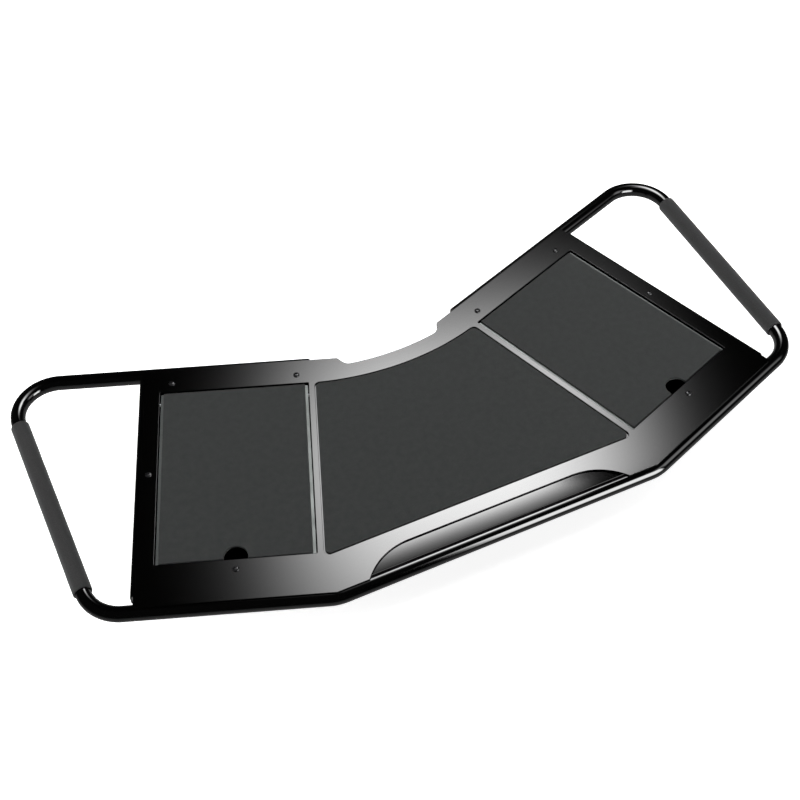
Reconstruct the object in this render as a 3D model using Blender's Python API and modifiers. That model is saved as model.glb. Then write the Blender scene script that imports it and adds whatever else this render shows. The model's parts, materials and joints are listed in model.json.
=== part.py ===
"""Mechanics creeper: a chevron deck on a bent tube frame, with two lidded tool trays and six swivel casters.

Metres, +Z up, +Y to the back. The origin is on the floor, under the middle of the object's box.
Everything hangs on the empty "creeper", whose own origin is the middle of the deck's front edge, on the
deck's top face. Each wing has an empty of its own: X runs outwards along the wing and Y runs to its back.
"""

import math

import bmesh
import bpy
from mathutils import Matrix, Vector

# Driving dimensions
GAP = 0.0003                    # between pieces that touch
WING_ANGLE = math.radians(20.36)
HALF_FRONT = 0.2238             # middle of the deck to the bend of a wing, along the front edge
DECK_HEIGHT = 0.090             # floor to the deck's top face
DECK_THICKNESS = 0.002
DECK_END = 0.2456               # along a wing, to where the sheet starts to fold down
DECK_BACK = 0.375               # across a wing, front edge to back edge
DECK_FRONT_CORNER = 0.004       # corner radii of the sheet
DECK_BACK_CORNER = 0.003
DECK_TAB = -0.019               # along a wing, the inner end of its back edge
DECK_TAB_CORNER = 0.005
DECK_FILLET_X = 0.069           # where the tab runs into the rear arc
DECK_FILLET = 0.012
DECK_ARC_END_X = 0.055
FOLD_RADIUS = 0.004
FOLD_DEPTH = 0.016
FOLD_FROM_EDGE = 0.016          # the fold stops this far from the front and back edges

TUBE_RADIUS = 0.010
TUBE_WALL = 0.0015
TUBE_BEND = 0.052
TUBE_FRONT_BEND = 0.060
TUBE_BACK = 0.375               # across a wing, front tube to back tube
TUBE_END = 0.020                # along a wing, where the back tube stops
HANDLE_X = 0.501
GRIP_RADIUS = 0.01225
GRIP_FRONT = 0.139
GRIP_BACK = 0.425

WINDOW_NEAR = 0.0216            # along a wing
WINDOW_FAR = 0.2216
WINDOW_FRONT = 0.058            # across a wing
WINDOW_BACK = 0.3345

MAT_SIDE = 0.0137               # along a wing, the mat opening's side edge
MAT_FRONT = 0.0535
BACK_ARC_CENTRE = 0.6728        # the two rear arcs are concentric
MAT_ARC = 0.375
DECK_ARC = 0.350
MAT_CORNER = 0.007
MAT_INSET = 0.0015
MAT_THICKNESS = 0.0022
PANEL_THICKNESS = 0.002

SCOOP_DEPTH = 0.0324
SCOOP_FLAT = 0.115              # half length of its straight part
SCOOP_HALF = 0.1813
TROUGH_THICKNESS = 0.0012
TROUGH_FRONT = 0.0081           # its front edge, resting on the back of the front tube
TROUGH_END_RUN = 0.0005         # scoop's edge to the trough's front edge at its two ends
TROUGH_DROP = 0.0020            # how far it falls from the scoop's edge to the tube, in the middle
TROUGH_FIRST_SLOPE = 0.27       # share of the fall that a straight slope would give
TROUGH_LAP = 0.006              # how far it runs under the deck
TROUGH_HEM = [(0.0095, -0.0068), (0.0112, -0.0125), (0.0124, -0.0125)]  # (y, z) of the hem behind the tube
TROUGH_HEM_BACK = 0.0110        # where the hem's inner face meets the sheet's lower face
TROUGH_STEPS = 6                # facets from the scoop's edge to the front edge
TROUGH_STATIONS = 20            # facets along X

TRAY_DEPTH = 0.028              # deck's top face to the tray's underside
TRAY_WALL = 0.0012
TRAY_FOLD = 0.003
TRAY_FLANGE_NEAR = 0.0179
TRAY_FLANGE_FAR = 0.242
TRAY_FLANGE_FRONT = 0.0335
TRAY_FLANGE_BACK = 0.360
LEDGE_DEPTH = 0.008
LEDGE_REACH = 0.012
LEDGE_WIDTH = 0.016
LEDGE_FROM_SIDE = 0.0125

LID_SIDE_GAP = 0.0012
LID_END_GAP = 0.0016
LID_TOP = 0.0033                # depth of the lid panel's top face below the deck's
LID_THICKNESS = 0.0015
LID_PAD_TOP = 0.0008
LID_RIM = 0.004                 # bare strip at each side of the pad
NOTCH_RADIUS = 0.015
NOTCH_DEPTH = 0.0184
HINGE_V = 0.318
HINGE_DEPTH = 0.0072
ROD_RADIUS = 0.002
ROD_REACH = 0.0022              # past the tray window on each side
EAR_THICKNESS = 0.0015
EAR_INSET = 0.0017              # lid's side edge to the ear

SCREW_RADIUS = 0.0023
SCREW_HEAD_RADIUS = 0.0042
SCREW_HEAD_HEIGHT = 0.0020
SCREW_LENGTH = 0.009
SCREW_PLACES = {"back_inner": (0.0376, 0.349), "back_outer": (0.2056, 0.349), "outer": (0.2322, 0.197),
                "front": (0.1216, 0.044)}

WHEEL_RADIUS = 0.025
WHEEL_WIDTH = 0.020
CASTER_TRAIL = 0.018
STEM_RADIUS = 0.005
STEM_NUT_RADIUS = 0.009
STEM_NUT_HEIGHT = 0.005
AXLE_RADIUS = 0.004
RUNNING_GAP = 0.0003
PLUG_CAP = 0.0022               # tube plug: crown height, its flat's radius, its shoulder and its length
PLUG_FLAT_RADIUS = 0.007
PLUG_SHOULDER = 0.0014
PLUG_LENGTH = 0.012
GRIP_LIP = 0.0008
WINDOW_CORNER = 0.0015
FOLD_LAP = 0.001
PANEL_LAP = 0.0035
PANEL_CORNER = 0.004
DRILL_LENGTH = 0.010
ROD_DRILL_LENGTH = 0.300
EAR_FRONT = 0.009               # hinge ear: reach in front of, behind and under the hinge line
EAR_BACK = 0.006
EAR_UNDER = 0.0045
ROD_CHAMFER = 0.0004
BUMPER_TOP_RADIUS = 0.0035
BUMPER_RADIUS = 0.0045
BUMPER_SHIFT = 0.001
STEM_TOP = 0.010                # caster stem: threaded end, collar, neck and the head closed over the fork
STEM_CHAMFER = 0.0008
COLLAR_RADIUS = 0.012
NECK_RADIUS = 0.004
STEM_HEAD_RADIUS = 0.0065
STEM_HEAD_HEIGHT = 0.0018
STEM_HEAD_CHAMFER = 0.001
CROWN_FRONT = -0.0145           # fork: crown plate and legs
CROWN_BACK = 0.0245
CROWN_CORNER = 0.004
LEG_LAP = 0.0004
LEG_FRONT = -0.0120
LEG_BACK = 0.0235
BOSS_RADIUS = 0.0075
BOSS_TURN = 0.88                # share of a half turn that the leg's round end takes
AXLE_HEAD_RADIUS = 0.0062
AXLE_HEAD_HEIGHT = 0.0018
HUB_RADIUS = 0.0090             # wheel: hub, dished web, rim and rounded tread
WEB_INNER = 0.0100
WEB_OUTER = 0.0190
WEB_DEPTH = 0.0018
RIM_RADIUS = 0.0220
RIM_DEPTH = 0.0006
TREAD_DEPTH = 0.0045
CASTER_PLACES = {"inner_front": (0.050, 0.088), "outer_front": (0.193, 0.088), "outer_back": (0.193, 0.305)}

SIDES = {"left": -1, "right": 1}
TUBE_DEPTH = DECK_THICKNESS + GAP + TUBE_RADIUS
CASTER_TOP = TRAY_DEPTH


# Scene, materials and small helpers

def clear_scene():
    for old in list(bpy.data.objects):
        bpy.data.objects.remove(old, do_unlink=True)


def new_collection(name, hidden=False):
    collection = bpy.data.collections.new(name)
    collection.hide_render = hidden
    bpy.context.scene.collection.children.link(collection)
    return collection


def make_material(name, colour, roughness, metallic=0.0):
    material = bpy.data.materials.new(name)
    material.use_nodes = True
    shader = material.node_tree.nodes["Principled BSDF"]
    shader.inputs["Base Color"].default_value = (*colour, 1.0)
    shader.inputs["Roughness"].default_value = roughness
    shader.inputs["Metallic"].default_value = metallic
    return material


def new_empty(name, location, angle=0.0, parent=None):
    empty = bpy.data.objects.new(name, None)
    empty.location = location
    empty.rotation_euler = (0.0, 0.0, angle)
    empty.parent = parent
    PARTS.objects.link(empty)
    return empty


def new_object(name, mesh, material, parent, location=(0, 0, 0)):
    """Adds a finished piece to the creeper, with a material of its own."""
    if material.name not in [slot.name for slot in mesh.materials]:
        mesh.materials.clear()
        mesh.materials.append(material)
    piece = bpy.data.objects.new(name, mesh)
    piece.location = location
    piece.parent = parent
    PARTS.objects.link(piece)
    return piece


def evaluated_mesh(source, keep_world=False):
    """The mesh that an object's modifiers or its curve give, welded and facing out; the object goes."""
    bpy.context.view_layer.update()
    graph = bpy.context.evaluated_depsgraph_get()
    mesh = bpy.data.meshes.new_from_object(source.evaluated_get(graph))
    bm = bmesh.new()
    bm.from_mesh(mesh)
    bmesh.ops.remove_doubles(bm, verts=bm.verts, dist=1e-6)
    if keep_world:
        bm.transform(source.matrix_world)
    bmesh.ops.recalc_face_normals(bm, faces=bm.faces)
    bm.to_mesh(mesh)
    bm.free()
    bpy.data.objects.remove(source, do_unlink=True)
    return mesh


def plate_mesh(outlines, low, high):
    """A flat plate between two heights. The first outline is its edge, and the others are holes in it."""
    curve = bpy.data.curves.new("outline", "CURVE")
    curve.dimensions = "2D"
    curve.fill_mode = "BOTH"
    curve.extrude = (high - low) / 2
    for outline in outlines:
        spline = curve.splines.new("POLY")
        spline.points.add(len(outline) - 1)
        for point, (x, y) in zip(spline.points, outline):
            point.co = (x, y, 0, 1)
        spline.use_cyclic_u = True
    guide = bpy.data.objects.new("outline", curve)
    guide.location.z = (high + low) / 2
    CUTTERS.objects.link(guide)
    return evaluated_mesh(guide, keep_world=True)


def turned_mesh(profile, steps):
    """A turned piece about Z. The profile lists (radius, height), down its outer side."""
    mesh = bpy.data.meshes.new("profile")
    closed = profile[0][0] > 0
    count = len(profile)
    edges = [(i, i + 1) for i in range(count - 1)]
    if closed:
        edges.append((count - 1, 0))
    mesh.from_pydata([(radius, 0, height) for radius, height in profile], edges, [])
    guide = bpy.data.objects.new("profile", mesh)
    CUTTERS.objects.link(guide)
    screw = guide.modifiers.new("turn", "SCREW")
    screw.steps = steps
    screw.render_steps = steps
    screw.use_merge_vertices = True
    screw.merge_threshold = 0.00001
    result = evaluated_mesh(guide)
    result.shade_smooth()
    result.set_sharp_from_angle(angle=math.radians(35))
    return result


def box_mesh(low, high):
    bm = bmesh.new()
    bmesh.ops.create_cube(bm, size=1.0)
    size = [b - a for a, b in zip(low, high)]
    middle = [(a + b) / 2 for a, b in zip(low, high)]
    bmesh.ops.scale(bm, vec=size, verts=bm.verts)
    bmesh.ops.translate(bm, vec=middle, verts=bm.verts)
    mesh = bpy.data.meshes.new("box")
    bm.to_mesh(mesh)
    bm.free()
    return mesh


def gathered_mesh(items):
    """Several meshes, each moved by its matrix, kept as separate solids in one mesh."""
    bm = bmesh.new()
    for mesh, matrix in items:
        copy = mesh.copy()
        copy.transform(matrix)
        bm.from_mesh(copy)
        bpy.data.meshes.remove(copy)
    result = bpy.data.meshes.new("group")
    bm.to_mesh(result)
    bm.free()
    return result


def moved(x, y, z):
    return Matrix.Translation((x, y, z))


def boolean_mesh(mesh, other, operation):
    """One mesh cut by another, or joined to it, with the exact solver."""
    piece = bpy.data.objects.new("piece", mesh)
    tool = bpy.data.objects.new("tool", other)
    for thing in (piece, tool):
        thing.hide_render = True
        thing.display_type = "WIRE"
        CUTTERS.objects.link(thing)
    step = piece.modifiers.new(operation.lower(), "BOOLEAN")
    step.operation = operation
    step.solver = "EXACT"
    step.object = tool
    result = evaluated_mesh(piece)
    bpy.data.objects.remove(tool, do_unlink=True)
    return result


def arc(centre, radius, start, end, steps):
    """Points on a circle from one angle to another, both ends included."""
    angles = [start + (end - start) * i / steps for i in range(steps + 1)]
    return [(centre[0] + radius * math.cos(a), centre[1] + radius * math.sin(a)) for a in angles]


def circle(centre, radius, steps=12):
    return arc(centre, radius, 0, 2 * math.pi, steps)[:-1]


def rounded(corners, steps=4):
    """A closed outline from (x, y, radius) corners, each with a radius turned into an arc."""
    points = []
    count = len(corners)
    for i, (x, y, radius) in enumerate(corners):
        if radius == 0:
            points.append((x, y))
            continue
        here = Vector((x, y))
        before = Vector(corners[i - 1][:2]) - here
        after = Vector(corners[(i + 1) % count][:2]) - here
        before.normalize()
        after.normalize()
        half = before.angle(after) / 2
        middle = (before + after).normalized()
        centre = here + middle * radius / math.sin(half)
        first = here + before * radius / math.tan(half) - centre
        last = here + after * radius / math.tan(half) - centre
        turn = first.angle_signed(last)
        start = math.atan2(first.y, first.x)
        points += arc(centre, radius, start, start - turn, steps)
    return points


def rectangle(x0, x1, y0, y1, radius=0.0, steps=3):
    return rounded([(x0, y0, radius), (x1, y0, radius), (x1, y1, radius), (x0, y1, radius)], steps)


def wing_point(along, across):
    """Right wing coordinates to deck coordinates."""
    x = HALF_FRONT + along * math.cos(WING_ANGLE) - across * math.sin(WING_ANGLE)
    y = along * math.sin(WING_ANGLE) + across * math.cos(WING_ANGLE)
    return x, y


def mirrored(half):
    """A closed outline from its right half, which runs from the middle line to the middle line."""
    left = [(-x, *rest) for x, *rest in reversed(half)]
    return [*half, *left]


def arc_point_on_side(along, radius):
    """Where a line along the wing's side edge meets a rear arc."""
    low, high = 0.1, 0.5
    for _ in range(40):
        middle = (low + high) / 2
        x, y = wing_point(along, middle)
        inside = math.hypot(x, y - BACK_ARC_CENTRE) > radius
        low, high = (middle, high) if inside else (low, middle)
    return wing_point(along, low)


# Frame

def bend_points(corner, before, after, radius, steps):
    """The points of a bend at a corner between two directions in the plan."""
    turn = before.angle(after)
    tangent = radius * math.tan(turn / 2)
    start = corner - before * tangent
    side = 1 if before.cross(after) > 0 else -1
    centre = start + Vector((-before.y, before.x)) * side * radius
    spoke = start - centre
    points = []
    for i in range(steps + 1):
        angle = side * turn * i / steps
        points.append(centre + Matrix.Rotation(angle, 2) @ spoke)
    return points


def tube_route():
    """The right half of the tube's centre line, from the front middle to the end of the back tube."""
    along = Vector((math.cos(WING_ANGLE), math.sin(WING_ANGLE)))
    reach = (HANDLE_X - HALF_FRONT) / along.x
    front_corner = Vector((HANDLE_X, reach * along.y))
    back_end = Vector(wing_point(TUBE_END, TUBE_BACK))
    back_reach = (HANDLE_X - back_end.x) / along.x
    back_corner = back_end + along * back_reach
    across = Vector((1.0, 0.0))
    back = Vector((0.0, 1.0))
    route = bend_points(Vector((HALF_FRONT, 0)), across, along, TUBE_FRONT_BEND, 4)
    route += bend_points(front_corner, along, back, TUBE_BEND, 7)
    route += bend_points(back_corner, back, -along, TUBE_BEND, 10)
    route.append(back_end)
    return route


def tube_surface(radius, name):
    """The skin of the bent tube at a radius, open at both ends."""
    half = tube_route()
    route = [Vector((-p.x, p.y)) for p in reversed(half)] + half
    curve = bpy.data.curves.new(name, "CURVE")
    curve.dimensions = "3D"
    curve.bevel_depth = radius
    curve.bevel_resolution = 4
    curve.use_fill_caps = False
    spline = curve.splines.new("POLY")
    spline.points.add(len(route) - 1)
    for point, place in zip(spline.points, route):
        point.co = (place.x, place.y, -TUBE_DEPTH, 1)
    guide = bpy.data.objects.new(name, curve)
    CUTTERS.objects.link(guide)
    return evaluated_mesh(guide)


def depth_middle():
    """Half way between the front of the front tube and the back of the rear bends."""
    highest = max(place.y for place in tube_route())
    return highest / 2


def make_frame_tube(parent):
    skin = tube_surface(TUBE_RADIUS, "tube_skin")
    tube = new_object("frame_tube", skin, PAINT_GLOSS, parent)
    wall = tube.modifiers.new("wall", "SOLIDIFY")
    wall.thickness = TUBE_WALL
    wall.offset = -1
    wall.use_even_offset = True
    skin.shade_smooth()


def make_tube_plug(side, sign, wing):
    inside = TUBE_RADIUS - TUBE_WALL - 2 * GAP
    outside = TUBE_RADIUS - 2 * GAP
    profile = [(0, PLUG_CAP), (PLUG_FLAT_RADIUS, PLUG_CAP), (outside - 2 * GAP, PLUG_SHOULDER), (outside, GAP),
               (inside, GAP), (inside, -PLUG_LENGTH), (0, -PLUG_LENGTH)]
    mesh = turned_mesh(profile, 16)
    mesh.transform(Matrix.Rotation(-sign * math.pi / 2, 4, "Y"))
    new_object(f"tube_plug_{side}", mesh, PLASTIC, wing, (sign * TUBE_END, TUBE_BACK, -TUBE_DEPTH))


def make_foam_grip(side, sign, parent):
    length = GRIP_BACK - GRIP_FRONT
    bore = TUBE_RADIUS + 2 * GAP
    lip = GRIP_RADIUS - GRIP_LIP
    profile = [(bore, length / 2), (lip, length / 2), (GRIP_RADIUS, length / 2 - GRIP_LIP),
               (GRIP_RADIUS, -length / 2 + GRIP_LIP), (lip, -length / 2), (bore, -length / 2)]
    mesh = turned_mesh(profile, 16)
    grip = new_object(f"foam_grip_{side}", mesh, FOAM, parent)
    grip.location = (sign * HANDLE_X, (GRIP_BACK + GRIP_FRONT) / 2, -TUBE_DEPTH)
    grip.rotation_euler = (math.pi / 2, 0, 0)


# Deck, mat and trough

def scoop_radius():
    rise = SCOOP_HALF - SCOOP_FLAT
    return (rise ** 2 + SCOOP_DEPTH ** 2) / (2 * SCOOP_DEPTH)


def scoop_edge(x):
    """How far back the scoop's edge is at a place along the front."""
    beyond = max(abs(x) - SCOOP_FLAT, 0)
    radius = scoop_radius()
    return SCOOP_DEPTH - radius + math.sqrt(radius ** 2 - beyond ** 2)


def rear_arc(radius, end_x, steps):
    """The rear arc from a place on the right to the middle line."""
    angle = math.asin(end_x / radius)
    half = arc((0, BACK_ARC_CENTRE), radius, -math.pi / 2 + angle, -math.pi / 2, steps)
    return [(x, y, 0) for x, y in half]


def deck_outline():
    steps = 8
    half = []
    for i in range(steps + 1):
        x = SCOOP_FLAT + (SCOOP_HALF - SCOOP_FLAT) * i / steps
        half.append((x, scoop_edge(x), 0))
    half.append((HALF_FRONT, 0, 0))
    half.append((*wing_point(DECK_END, 0), DECK_FRONT_CORNER))
    half.append((*wing_point(DECK_END, DECK_BACK), DECK_BACK_CORNER))
    half.append((*wing_point(DECK_TAB, DECK_BACK), DECK_TAB_CORNER))
    fillet_y = BACK_ARC_CENTRE - math.sqrt(DECK_ARC ** 2 - DECK_FILLET_X ** 2)
    half.append((DECK_FILLET_X, fillet_y, DECK_FILLET))
    half += rear_arc(DECK_ARC, DECK_ARC_END_X, 6)[:-1]
    return rounded(mirrored(half))


def mat_outline(inset, corner):
    """The trapezoid of the mat with its concave back edge, made smaller by an inset."""
    front = MAT_FRONT + inset
    side = MAT_SIDE - inset
    radius = MAT_ARC + inset
    across = (front - side * math.sin(WING_ANGLE)) / math.cos(WING_ANGLE)
    front_corner = wing_point(side, across)
    back_corner = arc_point_on_side(side, radius)
    half = [(*front_corner, corner), (*back_corner, corner)]
    half += rear_arc(radius, back_corner[0] - 2.5 * corner, 8)[:-1]
    return rounded(mirrored(half))


def make_deck(parent):
    outlines = [deck_outline(), mat_outline(0.0, MAT_CORNER)]
    hole_radius = SCREW_RADIUS + GAP
    for sign in SIDES.values():
        to_deck = wing_matrix(sign)
        window = rectangle(WINDOW_NEAR, WINDOW_FAR, WINDOW_FRONT, WINDOW_BACK, WINDOW_CORNER)
        holes = [circle(place, hole_radius) for place in SCREW_PLACES.values()]
        for outline in [window, *holes]:
            placed = [to_deck @ Vector((sign * x, y, 0)) for x, y in outline]
            outlines.append([(p.x, p.y) for p in placed])
    mesh = plate_mesh(outlines, -DECK_THICKNESS, 0)
    for sign in SIDES.values():
        mesh = boolean_mesh(mesh, folded_end(sign), "UNION")
    new_object("deck", mesh, PAINT_SATIN, parent)


def folded_end(sign):
    """The end of a wing where the sheet folds down, as a profile drawn out across the wing."""
    centre = (DECK_END, -FOLD_RADIUS)
    profile = [(DECK_END - FOLD_LAP, 0)]
    profile += arc(centre, FOLD_RADIUS, math.pi / 2, 0, 4)
    profile.append((DECK_END + FOLD_RADIUS, -FOLD_DEPTH))
    profile.append((DECK_END + FOLD_RADIUS - DECK_THICKNESS, -FOLD_DEPTH))
    profile += arc(centre, FOLD_RADIUS - DECK_THICKNESS, 0, math.pi / 2, 4)
    profile.append((DECK_END - FOLD_LAP, -DECK_THICKNESS))
    length = DECK_BACK - 2 * FOLD_FROM_EDGE
    mesh = plate_mesh([[(sign * x, y) for x, y in profile]], -length / 2, length / 2)
    mesh.transform(Matrix.Rotation(math.pi / 2, 4, "X"))
    mesh.transform(wing_matrix(sign) @ moved(0, DECK_BACK / 2, 0))
    return mesh


def wing_matrix(sign):
    return moved(sign * HALF_FRONT, 0, 0) @ Matrix.Rotation(sign * WING_ANGLE, 4, "Z")


def make_centre_panel(parent):
    top = -DECK_THICKNESS - GAP
    mesh = plate_mesh([mat_outline(-PANEL_LAP, PANEL_CORNER)], top - PANEL_THICKNESS, top)
    new_object("centre_panel", mesh, PAINT_SATIN, parent)


def make_centre_mat(parent):
    bottom = -DECK_THICKNESS
    mesh = plate_mesh([mat_outline(MAT_INSET, MAT_CORNER)], bottom, bottom + MAT_THICKNESS)
    new_object("centre_mat", mesh, PAD, parent)


def trough_height(y):
    """The upper face's height: the sheet is bent about X only, so it depends on y alone."""
    share = min(max((SCOOP_DEPTH - y) / (SCOOP_DEPTH - TROUGH_FRONT), 0), 1)
    fall = TROUGH_DROP * (TROUGH_FIRST_SLOPE * share + (1 - TROUGH_FIRST_SLOPE) * share ** 2)
    return -DECK_THICKNESS - 2 * GAP - fall


def trough_section(edge):
    """The trough's outline in (y, z) where the scoop's edge lies at y = edge: upper face, hem, lower face."""
    back = edge + TROUGH_LAP
    shares = [i / TROUGH_STEPS for i in range(TROUGH_STEPS + 1)]
    upper = [back] + [edge + (TROUGH_FRONT - edge) * share for share in shares]
    lower = [TROUGH_HEM_BACK + (back - TROUGH_HEM_BACK) * share for share in shares]
    outline = [(y, trough_height(y)) for y in upper]
    outline += TROUGH_HEM
    outline += [(y, trough_height(y) - TROUGH_THICKNESS) for y in lower]
    return outline


def make_front_trough(parent):
    """A sheet that falls from under the scoop's edge to the front tube: its outline lofted along X."""
    end = SCOOP_HALF + TROUGH_LAP
    bm = bmesh.new()
    sections = []
    for station in range(TROUGH_STATIONS + 1):
        x = end * (2 * station / TROUGH_STATIONS - 1)
        edge = max(scoop_edge(x), TROUGH_FRONT + TROUGH_END_RUN)
        sections.append([bm.verts.new((x, y, z)) for y, z in trough_section(edge)])
    for before, after in zip(sections, sections[1:]):
        for i, vert in enumerate(before):
            bm.faces.new((vert, after[i], after[i - 1], before[i - 1]))
    bm.faces.new(sections[0])
    bm.faces.new(sections[-1])
    bmesh.ops.recalc_face_normals(bm, faces=bm.faces)
    mesh = bpy.data.meshes.new("front_trough")
    bm.to_mesh(mesh)
    bm.free()
    new_object("front_trough", mesh, PAINT_GLOSS, parent)


# Tray and lid of one wing

def tray_surface():
    """The tray's inner and upper faces: an open box with a flange round its mouth."""
    bm = bmesh.new()
    bmesh.ops.create_cube(bm, size=1.0)
    mouth = -DECK_THICKNESS - GAP
    floor = -TRAY_DEPTH + TRAY_WALL
    for vert in bm.verts:
        x = WINDOW_FAR if vert.co.x > 0 else WINDOW_NEAR
        y = WINDOW_BACK if vert.co.y > 0 else WINDOW_FRONT
        z = mouth if vert.co.z > 0 else floor
        vert.co = (x, y, z)
    bm.normal_update()
    lid_face = max(bm.faces, key=lambda face: face.calc_center_median().z)
    bmesh.ops.delete(bm, geom=[lid_face], context="FACES_ONLY")
    folds = [edge for edge in bm.edges if min(v.co.z for v in edge.verts) < mouth - 0.001]
    bmesh.ops.bevel(bm, geom=folds, offset=TRAY_FOLD, segments=2, profile=0.5, affect="EDGES")
    rim = [edge for edge in bm.edges if edge.is_boundary]
    grown = bmesh.ops.extrude_edge_only(bm, edges=rim)
    middle_x = (WINDOW_NEAR + WINDOW_FAR) / 2
    middle_y = (WINDOW_FRONT + WINDOW_BACK) / 2
    for vert in grown["geom"]:
        if isinstance(vert, bmesh.types.BMVert):
            near_x = TRAY_FLANGE_NEAR if vert.co.x < middle_x else TRAY_FLANGE_FAR
            near_y = TRAY_FLANGE_FRONT if vert.co.y < middle_y else TRAY_FLANGE_BACK
            on_x = abs(vert.co.x - WINDOW_NEAR) < 1e-5 or abs(vert.co.x - WINDOW_FAR) < 1e-5
            on_y = abs(vert.co.y - WINDOW_FRONT) < 1e-5 or abs(vert.co.y - WINDOW_BACK) < 1e-5
            vert.co.x = near_x if on_x or not on_y else vert.co.x
            vert.co.y = near_y if on_y or not on_x else vert.co.y
    bmesh.ops.recalc_face_normals(bm, faces=bm.faces)
    floor_face = min(bm.faces, key=lambda face: face.calc_center_median().z)
    if floor_face.normal.z < 0:
        bmesh.ops.reverse_faces(bm, faces=bm.faces)
    mesh = bpy.data.meshes.new("tray")
    bm.to_mesh(mesh)
    bm.free()
    return mesh


def tray_mesh():
    """The tray of the right wing, with its ledges and holes."""
    sheet = bpy.data.objects.new("tray_sheet", tray_surface())
    CUTTERS.objects.link(sheet)
    wall = sheet.modifiers.new("sheet", "SOLIDIFY")
    wall.thickness = TRAY_WALL
    wall.offset = -1
    wall.use_even_offset = True
    mesh = evaluated_mesh(sheet)
    ledges = []
    for low_x in ledge_starts():
        low = (low_x, WINDOW_FRONT - TRAY_WALL / 2, -LEDGE_DEPTH - TRAY_WALL)
        high = (low_x + LEDGE_WIDTH, WINDOW_FRONT + LEDGE_REACH, -LEDGE_DEPTH)
        ledges.append((box_mesh(low, high), moved(0, 0, 0)))
    mesh = boolean_mesh(mesh, gathered_mesh(ledges), "UNION")
    drills = []
    screw_drill = drill_mesh(SCREW_RADIUS, DRILL_LENGTH, 12)
    stem_drill = drill_mesh(STEM_RADIUS, DRILL_LENGTH, 16)
    for x, y in SCREW_PLACES.values():
        drills.append((screw_drill, moved(x, y, -DRILL_LENGTH)))
    for x, y in CASTER_PLACES.values():
        drills.append((stem_drill, moved(x, y, -TRAY_DEPTH - DRILL_LENGTH / 2)))
    drills.append((drill_mesh(ROD_RADIUS, ROD_DRILL_LENGTH, 12), hinge_line()))
    return boolean_mesh(mesh, gathered_mesh(drills), "DIFFERENCE")


def drill_mesh(radius, length, steps):
    """A round cutter from its own origin up, a gap wider than the pin that the hole is for."""
    bore = radius + GAP
    return turned_mesh([(0, length), (bore, length), (bore, 0), (0, 0)], steps)


def hinge_line():
    return moved(0, HINGE_V, -HINGE_DEPTH) @ Matrix.Rotation(math.pi / 2, 4, "Y")


def ledge_starts():
    return [WINDOW_NEAR + LEDGE_FROM_SIDE, WINDOW_FAR - LEDGE_FROM_SIDE - LEDGE_WIDTH]


def for_side(mesh, sign):
    """A piece drawn for the right wing, turned into the one for its side."""
    if sign > 0:
        return mesh
    other = mesh.copy()
    other.transform(Matrix.Scale(-1, 4, (1, 0, 0)))
    other.flip_normals()
    return other


def lid_outline(side_inset, end_inset):
    """A lid's rectangle with the half-round finger notch in the middle of its front edge."""
    x0 = WINDOW_NEAR + LID_SIDE_GAP + side_inset
    x1 = WINDOW_FAR - LID_SIDE_GAP - side_inset
    y0 = WINDOW_FRONT + LID_END_GAP + end_inset
    y1 = WINDOW_BACK - LID_END_GAP - end_inset
    middle = (x0 + x1) / 2
    centre_y = WINDOW_FRONT + LID_END_GAP + NOTCH_DEPTH - NOTCH_RADIUS
    notch = arc((middle, centre_y), NOTCH_RADIUS, math.pi, 0, 12)
    outline = [(x0, y0), (middle - NOTCH_RADIUS, y0), *notch, (middle + NOTCH_RADIUS, y0), (x1, y0)]
    return [*outline, (x1, y1), (x0, y1)]


def ear_places():
    """The two faces of each hinge ear, along the wing."""
    near = WINDOW_NEAR + LID_SIDE_GAP + EAR_INSET
    far = WINDOW_FAR - LID_SIDE_GAP - EAR_INSET
    return [(near, near + EAR_THICKNESS), (far - EAR_THICKNESS, far)]


def lid_panel_mesh():
    top = -LID_TOP
    mesh = plate_mesh([lid_outline(0, 0)], top - LID_THICKNESS, top)
    ears = []
    for x0, x1 in ear_places():
        low = (x0, HINGE_V - EAR_FRONT, -HINGE_DEPTH - EAR_UNDER)
        high = (x1, HINGE_V + EAR_BACK, top - LID_THICKNESS / 2)
        ears.append((box_mesh(low, high), moved(0, 0, 0)))
    mesh = boolean_mesh(mesh, gathered_mesh(ears), "UNION")
    drill = drill_mesh(ROD_RADIUS, ROD_DRILL_LENGTH, 12)
    drill.transform(hinge_line())
    return boolean_mesh(mesh, drill, "DIFFERENCE")


def lid_rod_mesh():
    """The rod that the lid turns on, through both ears and the tray's side walls."""
    near = WINDOW_NEAR - ROD_REACH
    far = WINDOW_FAR + ROD_REACH
    tip = ROD_RADIUS - ROD_CHAMFER
    profile = [(0, far), (tip, far), (ROD_RADIUS, far - ROD_CHAMFER), (ROD_RADIUS, near + ROD_CHAMFER),
               (tip, near), (0, near)]
    mesh = turned_mesh(profile, 12)
    mesh.transform(hinge_line())
    return mesh


def bumper_mesh():
    bottom = -LEDGE_DEPTH + GAP
    top = -LID_TOP - LID_THICKNESS - GAP
    return turned_mesh([(0, top), (BUMPER_TOP_RADIUS, top), (BUMPER_RADIUS, bottom), (0, bottom)], 12)


def screw_mesh():
    """A dome head on the deck and a shank through the deck and the tray's tapped flange."""
    head = GAP + SCREW_HEAD_HEIGHT
    profile = [(0, head), (SCREW_HEAD_RADIUS * 0.55, head * 0.88), (SCREW_HEAD_RADIUS * 0.9, head * 0.5),
               (SCREW_HEAD_RADIUS, GAP), (SCREW_RADIUS, GAP), (SCREW_RADIUS, -SCREW_LENGTH), (0, -SCREW_LENGTH)]
    return turned_mesh(profile, 12)


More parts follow.
